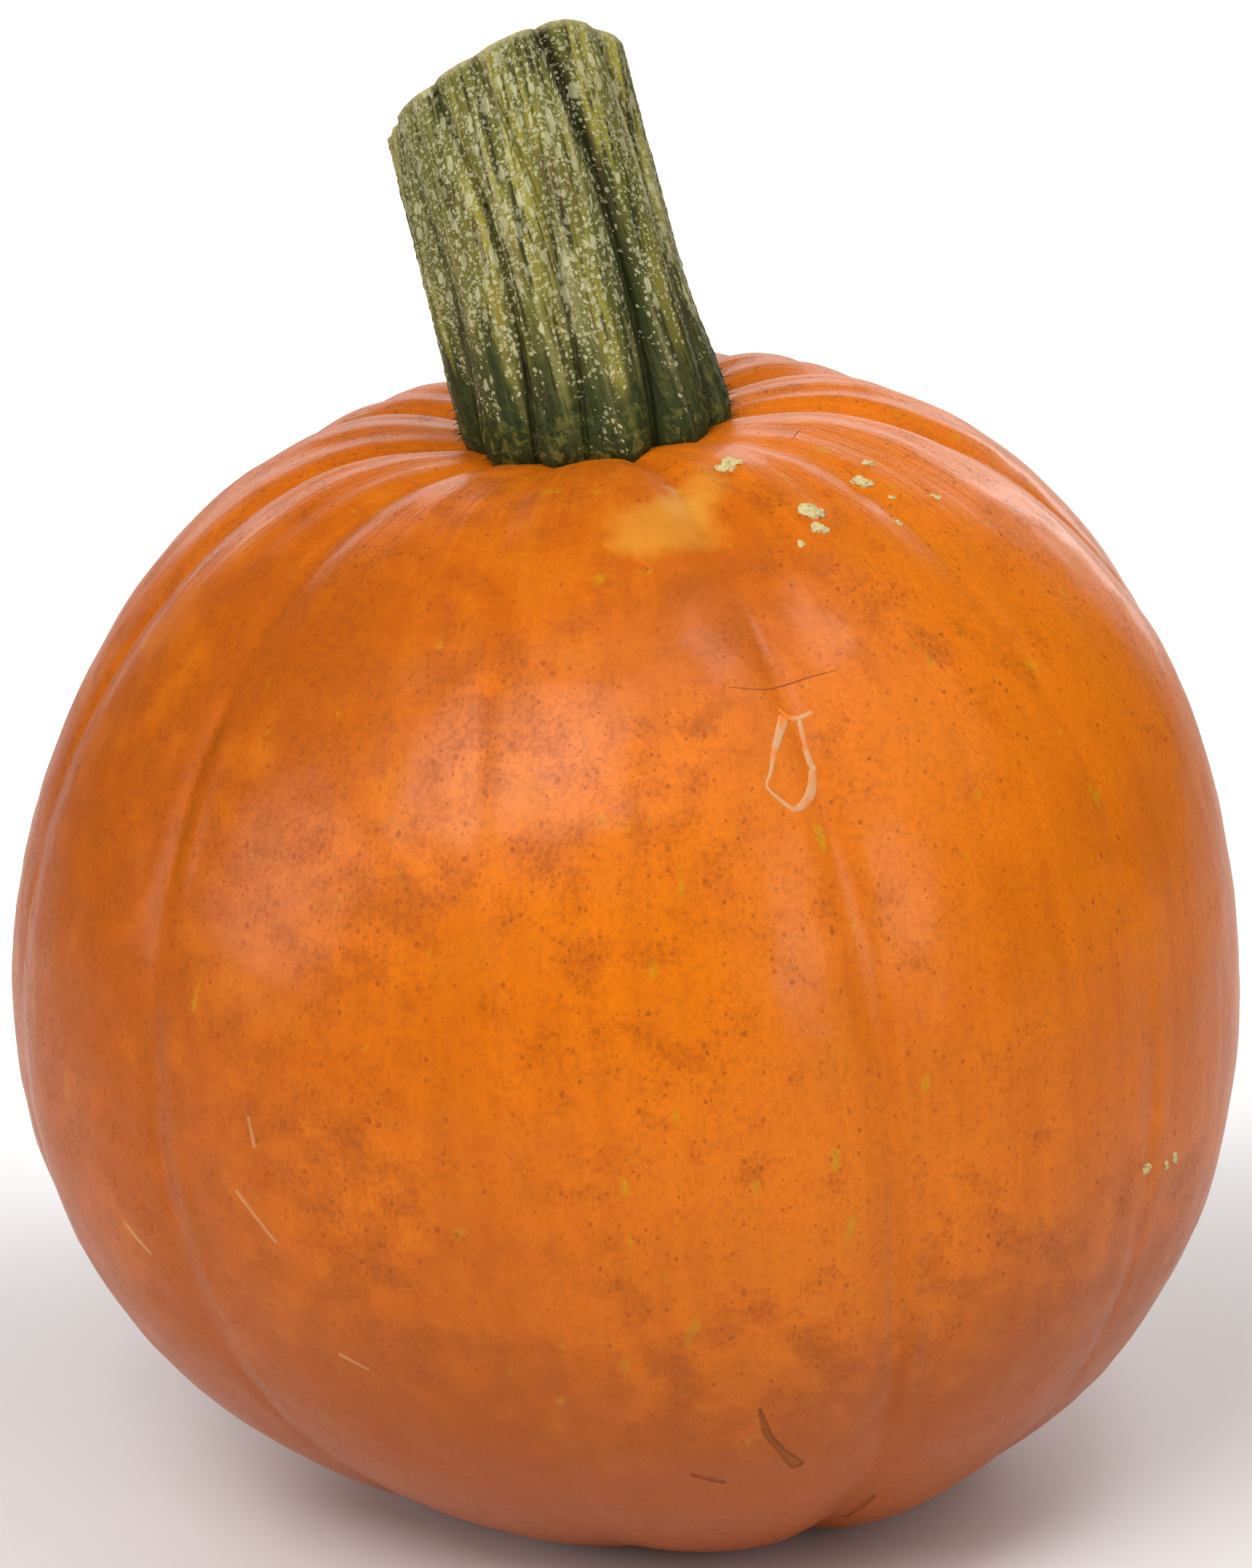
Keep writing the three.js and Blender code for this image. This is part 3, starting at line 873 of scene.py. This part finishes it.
def scab_group(material):
    """Crusts of cork: a lump on every point, turned to the skin and crumbled."""
    group, tree, given = new_group("Scabs", {}, "Spots")
    normal = kept(tree, "outwards", "FLOAT_VECTOR")
    radius = kept(tree, "radius")
    turn = tree.node("FunctionNodeAlignEulerToVector", {"axis": "Z"}, {"Vector": normal})
    lump = tree.node("GeometryNodeMeshIcoSphere", {}, {"Radius": MM, "Subdivisions": 4})
    size = tree.combine(radius * 1.15, radius * 0.8, radius * 0.35)
    lumps = tree.node("GeometryNodeInstanceOnPoints", {}, {
        "Points": given["Spots"], "Instance": lump, "Rotation": turn, "Scale": size,
    })
    lumps = tree.node("GeometryNodeRealizeInstances", {}, {"Geometry": lumps})
    place = tree.node("GeometryNodeInputPosition")
    in_mm = tree.scaled(place, 1 / MM)
    crumble = tree.node("ShaderNodeTexNoise", {}, {"Vector": in_mm, "Scale": 1.3, "Detail": 3.0}, "Color")
    shift = tree.scaled(tree.vector("SUBTRACT", crumble, (0.5, 0.5, 0.5)), 1.6 * MM)
    lumps = tree.node("GeometryNodeSetPosition", {}, {"Geometry": lumps, "Offset": shift})
    finished(tree, lumps, material)
    return group


def spot_mesh(skin, spots, edges=()):
    """A mesh of points on the skin that remember their normal and size."""
    found = skin_points(skin, spots)
    mesh = bpy.data.meshes.new("spots")
    mesh.from_pydata([place for place, _ in found], edges, [])
    outwards = mesh.attributes.new("outwards", "FLOAT_VECTOR", "POINT")
    for entry, (_, normal) in zip(outwards.data, found):
        entry.vector = normal
    radius = mesh.attributes.new("radius", "FLOAT", "POINT")
    for entry, spot in zip(radius.data, spots):
        entry.value = spot[2]
    return mesh


def strip_group(name, sizes, material):
    """A flat strip that follows rows of points over the skin, wide and narrow as they say."""
    group, tree, size = new_group(name, sizes, "Path")
    normal = kept(tree, "outwards", "FLOAT_VECTOR")
    radius = kept(tree, "radius")
    path = tree.node("GeometryNodeMeshToCurve", {}, {"Mesh": size["Path"]})
    path = tree.node("GeometryNodeSetCurveNormal", {"mode": "FREE"}, {"Curve": path, "Normal": normal})
    bead = 0.85 + tree.noise(tree.scaled(tree.node("GeometryNodeInputPosition"), 1 / MM), 1.5, 2) * 0.3
    oval = tree.node("GeometryNodeCurvePrimitiveCircle", {}, {"Resolution": 12, "Radius": MM})
    flat = tree.combine(size["Flatness"], 1, 1)
    oval = tree.node("GeometryNodeTransform", {}, {"Geometry": oval, "Scale": flat})
    ends = {"Curve": path, "Profile Curve": oval, "Scale": radius * bead, "Fill Caps": True}
    finished(tree, tree.node("GeometryNodeCurveToMesh", {}, ends), material)
    return group


def path_mesh(skin, lines):
    """Polylines on the skin, with many short steps between the given directions."""
    steps = 10
    edges = []
    fine = []
    for line in lines:
        first = len(fine)
        for index in range(len(line) - 1):
            around = [line[min(max(index + shift, 0), len(line) - 1)] for shift in (-1, 0, 1, 2)]
            fine += [spline_between(around, step / steps) for step in range(steps)]
        fine.append(line[-1])
        edges += [(index, index + 1) for index in range(first, len(fine) - 1)]
    return spot_mesh(skin, [(*spot[:2], spot[2] / 2) for spot in fine], edges)


def spline_between(around, share):
    """A point of the smooth curve through four points, between the middle two."""
    before, start, end, after = (Vector(point) for point in around)
    bend = 2 * before - 5 * start + 4 * end - after
    twist = 3 * start - before - 3 * end + after
    curve = 2 * start + (end - before) * share + bend * share ** 2 + twist * share ** 3
    return tuple(curve / 2)


def bristle_group(sizes, material):
    """Short dry hairs, scattered over the foot of the stem."""
    group, tree, size = new_group("Bristles", sizes, "Stem")
    height = kept(tree, "height")
    low = (tree.smooth(height, 0.2, 0.03) * (height > 0.004)) * size["Per square mm"] / (MM * MM)
    scatter = {"Mesh": size["Stem"], "Density": low, "Seed": 4}
    spots = tree.node("GeometryNodeDistributePointsOnFaces", {}, scatter)
    turn = tree.node("FunctionNodeAlignEulerToVector", {"axis": "Z"}, {"Vector": spots.other("Normal")})
    hair = {"Vertices": 5, "Side Segments": 1, "Radius Top": 0.02 * MM, "Radius Bottom": 0.07 * MM,
            "Depth": size["Length"] * MM}
    cone = tree.node("GeometryNodeMeshCone", {}, hair)
    length = tree.node("FunctionNodeRandomValue", {"data_type": "FLOAT"}, {2: 0.5, 3: 1.2, "Seed": 7}, 1)
    tilt = tree.node("FunctionNodeRandomValue", {"data_type": "FLOAT_VECTOR"}, {
        0: (-0.5, -0.5, -0.5), 1: (0.5, 0.5, 0.5), "Seed": 9,
    })
    turn = tree.vector("ADD", turn, tilt)
    hairs = tree.node("GeometryNodeInstanceOnPoints", {}, {
        "Points": spots, "Instance": cone, "Rotation": turn, "Scale": tree.combine(1, 1, length),
    })
    finished(tree, hairs, material)
    return group


# Studio


def soft_light(name, place, width, height, power, spread, target=(0, 0, 0.09)):
    """A soft box: sizes in metres, power in watts, spread in degrees."""
    data = bpy.data.lights.new(name, "AREA")
    data.shape = "RECTANGLE"
    data.size = width
    data.size_y = height
    data.energy = power
    data.spread = spread * DEGREE
    light = bpy.data.objects.new(name, data)
    light.location = place
    light.rotation_euler = (Vector(target) - Vector(place)).to_track_quat("-Z", "Y").to_euler()
    bpy.context.scene.collection.objects.link(light)


def floor_material(look):
    material, tree, place = new_material("studio_floor")
    grain = tree.noise(place, 60, 3)
    colour = tree.mix(grain, look.floor, (0.9, 0.9, 0.9))
    coat_with(tree, colour, 0.55 + grain * 0.1, grain * 0.02, {})
    return material


def flat_floor(look):
    half = 3.0
    corners = [(-half, -half, 0), (half, -half, 0), (half, half, 0), (-half, half, 0)]
    mesh = bpy.data.meshes.new("studio_floor")
    mesh.from_pydata(corners, [], [(0, 1, 2, 3)])
    mesh.materials.append(floor_material(look))
    floor = bpy.data.objects.new("studio_floor", mesh)
    bpy.context.scene.collection.objects.link(floor)


def aim_camera():
    """The photo's view: a long lens, about 18 degrees above level."""
    elevation = 0.306
    distance = 1.1
    pixels_per_mm = 9.9
    frame_height = 2156
    sensor_height = 36
    data = bpy.data.cameras.new("view")
    data.lens = sensor_height * pixels_per_mm * distance / MM / frame_height
    data.clip_start = 0.01
    camera = bpy.data.objects.new("view", data)
    camera.location = (0.0006, -distance * math.cos(elevation), 0.101 + distance * math.sin(elevation))
    camera.rotation_euler = (math.pi / 2 - elevation, 0, 0)
    bpy.context.scene.collection.objects.link(camera)
    bpy.context.scene.camera = camera


# Panel, sizes and operators


def length_property(name, description, default):
    return FloatProperty(
        name=name, description=description, default=default, precision=5, unit="LENGTH")


def colour_property(name, description, default):
    return FloatVectorProperty(
        name=name, description=description, default=default, subtype="COLOR", size=3, min=0, max=1)


class PumpkinSizes(bpy.types.PropertyGroup):
    """Sizes of the fruit and the stem."""

    fruit_radius: length_property("Fruit radius", "Half the fruit's width", 0.0855)
    shoulder_height: length_property("Shoulder height", "From the widest ring up", 0.0893)
    base_height: length_property("Base height", "From the widest ring down", 0.0774)
    middle_above_floor: length_property("Middle above floor", "Height of the widest ring", 0.0728)
    groove_depth: length_property("Groove depth", "Depth of a usual groove at the widest ring", 0.00115)
    pleat_depth: length_property("Pleat depth", "Depth of the pleats on the shoulder", 0.00035)
    stem_radius: length_property("Stem radius", "Half the stem's width", 0.0176)
    stem_height: length_property("Stem height", "From its seat to the middle of its cut", 0.049)
    stem_lean: length_property("Stem lean", "How far the cut stands towards +X", -0.0123)
    furrow_depth: length_property("Furrow depth", "Depth of a usual furrow of the stem", 0.0015)
    sap_flatness: FloatProperty(
        name="Sap flatness", description="Thickness of the dried sap, as a share of its width", default=0.16,
        min=0.01, max=1, subtype="FACTOR")
    bristles: FloatProperty(
        name="Bristles per square mm", description="How crowded the bristles are", default=0.6)


class PumpkinLook(bpy.types.PropertyGroup):
    """Colours of the fruit, the stem and the studio."""

    skin_orange: colour_property("Orange", "Main colour of the skin", (0.82, 0.190, 0.001))
    # Deep orange: darker clouds of the skin, and also the painted shade in the grooves and on the lower half
    skin_deep_and_shade: colour_property("Deep orange", "Darker clouds of the skin", (0.60, 0.122, 0.001))
    # Brown: real mottling of the skin, and also painted shade towards the bottom
    skin_brown_and_shade: colour_property("Brown", "Brownish mottling of the skin", (0.36, 0.075, 0.002))
    skin_amber: colour_property("Amber", "Paler streaks and flecks of the skin", (0.80, 0.235, 0.006))
    skin_fleck: colour_property("Flecks", "Small yellowish flecks of the skin", (0.60, 0.33, 0.004))
    skin_yellow: colour_property("Yellow", "Pale patch near the stem", (0.80, 0.40, 0.05))
    speckle: colour_property("Speckle", "Fine dots of the skin", (0.35, 0.068, 0.003))
    scar: colour_property("Scar", "Healed cuts", (0.31, 0.08, 0.008))
    cork: colour_property("Cork", "Corky crusts", (0.68, 0.56, 0.27))
    sap: colour_property("Sap", "Dried sap", (0.68, 0.33, 0.14))
    # Stem green: the green foot of the stem, and also a painted shadow in one of its furrows
    stem_green: colour_property("Stem green", "Foot of the stem", (0.028, 0.043, 0.009))
    stem_olive: colour_property("Stem olive", "Middle of the stem", (0.18, 0.175, 0.033))
    stem_yellow: colour_property("Stem yellow", "Yellowish streaks of the stem", (0.44, 0.38, 0.06))
    # Fissures: real cracks of the stem, and also the painted shade in its furrows
    stem_fissure_and_shade: colour_property("Stem fissures", "Cracks and furrows of the stem", (0.028, 0.026, 0.008))
    stem_rust: colour_property("Stem rust", "Brownish streaks of the stem", (0.15, 0.075, 0.03))
    stem_tan: colour_property("Stem tan", "Dry rim of the stem", (0.50, 0.45, 0.22))
    stem_pale: colour_property("Stem warts", "Warts of the stem", (0.68, 0.66, 0.39))
    floor: colour_property("Floor", "Studio floor", (0.85, 0.85, 0.85))
    skin_roughness: FloatProperty(
        name="Skin roughness", description="0 is a mirror and 1 is chalk", default=0.36, min=0, max=1,
        subtype="FACTOR")


class PumpkinFruit(bpy.types.Operator):
    """Grow the ribbed fruit"""

    bl_idname = "pumpkin.fruit"
    bl_label = "Fruit"

    def execute(self, context):
        sizes = fruit_sizes(context.scene.pumpkin_sizes)
        material, tree, place = new_material("pumpkin_skin")
        skin = grown("fruit_skin", fruit_group(sizes, material), sizes)
        paint_skin(tree, place, skin, context.scene.pumpkin_look)
        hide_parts("fruit")
        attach(skin, "root")
        return {"FINISHED"}


class PumpkinStem(bpy.types.Operator):
    """Grow the furrowed stem, with the bristles at its foot"""

    bl_idname = "pumpkin.stem"
    bl_label = "Stem"

    def execute(self, context):
        size = context.scene.pumpkin_sizes
        sizes = stem_sizes(size)
        rind = rind_material(context.scene.pumpkin_look)
        stem = grown("stem_rind", stem_group(sizes, rind), sizes)
        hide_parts("stem")
        sizes = {"Per square mm": size.bristles, "Length": 1.3}
        bristles = grown("stem_bristles", bristle_group(sizes, rind), sizes, stem.data.copy())
        for piece in (stem, bristles):
            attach(piece, "root")
        return {"FINISHED"}


class PumpkinMarks(bpy.types.Operator):
    """Lay the corky crusts, the dried sap and the healed scratches on the skin"""

    bl_idname = "pumpkin.marks"
    bl_label = "Marks"

    def execute(self, context):
        look = context.scene.pumpkin_look
        skin = bpy.data.objects["fruit_skin"]
        scabs = grown("skin_scabs", scab_group(cork_material(look)), {}, spot_mesh(skin, SCABS))
        flatness = context.scene.pumpkin_sizes.sap_flatness
        drip = strip("sap_drip", path_mesh(skin, DRIP), flatness, sap_material(look))
        scratch = strip("healed_scratches", path_mesh(skin, HEALED_SCRATCHES), 1.0, scratch_material(look))
        for piece in (scabs, drip, scratch):
            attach(piece, "root")
        return {"FINISHED"}


def strip(name, path, flatness, material):
    sizes = {"Flatness": flatness}
    return grown(name, strip_group(name, sizes, material), sizes, path)


class PumpkinStage(bpy.types.Operator):
    """Set up the floor, the lights and the camera"""

    bl_idname = "pumpkin.stage"
    bl_label = "Stage"

    def execute(self, context):
        flat_floor(context.scene.pumpkin_look)
        soft_light("key_high", (-0.39, -0.70, 0.95), 0.8, 0.6, 1.3, 60)
        soft_light("key_left", (-1.0, -0.33, 0.40), 0.8, 0.5, 0.56, 60)
        soft_light("side", (0.65, -0.5, 1.1), 1.6, 1.4, 3.2, 120)
        soft_light("fill", (0.75, -0.88, 0.30), 0.3, 0.5, 0.24, 60)
        soft_light("top", (0.37, -0.28, 1.16), 0.35, 0.3, 0.24, 60)
        soft_light("left_rim", (-0.5, 1.0, 0.35), 0.1, 0.7, 0.08, 90)
        soft_light("right_rim", (0.5, 1.0, 0.35), 0.1, 0.7, 0.3, 90)
        soft_light("back", (0, 1.3, 0.45), 1.3, 0.6, 1.5, 90)
        soft_light("floor_near", (0, 0.42, 0.9), 0.24, 0.48, 0.62, 22, (0, 0.42, 0))
        soft_light("floor_far", (0, 1.05, 0.9), 0.6, 0.8, 1.9, 22, (0, 1.05, 0))
        world = bpy.data.worlds.new("studio")
        world.use_nodes = True
        background = world.node_tree.nodes["Background"]
        background.inputs["Color"].default_value = (1, 1, 1, 1)
        background.inputs["Strength"].default_value = 0.09
        context.scene.world = world
        context.scene.view_settings.view_transform = "Standard"
        aim_camera()
        return {"FINISHED"}


class PumpkinPanel(bpy.types.Panel):
    """Sizes, colours and steps of the pumpkin"""

    bl_idname = "VIEW3D_PT_pumpkin"
    bl_label = "Pumpkin"
    bl_space_type = "VIEW_3D"
    bl_region_type = "UI"
    bl_category = "Pumpkin"

    def draw(self, context):
        layout = self.layout
        for group in (context.scene.pumpkin_sizes, context.scene.pumpkin_look):
            for name in group.__annotations__:
                layout.prop(group, name)
        for operator in OPERATORS:
            layout.operator(operator.bl_idname)


OPERATORS = (PumpkinFruit, PumpkinStem, PumpkinMarks, PumpkinStage)
CLASSES = (PumpkinSizes, PumpkinLook, *OPERATORS, PumpkinPanel)


def register():
    for kind in CLASSES:
        bpy.utils.register_class(kind)
    bpy.types.Scene.pumpkin_sizes = PointerProperty(type=PumpkinSizes)
    bpy.types.Scene.pumpkin_look = PointerProperty(type=PumpkinLook)


def unregister():
    del bpy.types.Scene.pumpkin_look
    del bpy.types.Scene.pumpkin_sizes
    for kind in reversed(CLASSES):
        bpy.utils.unregister_class(kind)


def main():
    register()
    bpy.ops.pumpkin.fruit()
    bpy.ops.pumpkin.stem()
    bpy.ops.pumpkin.marks()
    bpy.ops.pumpkin.stage()


if __name__ == "__main__":
    main()
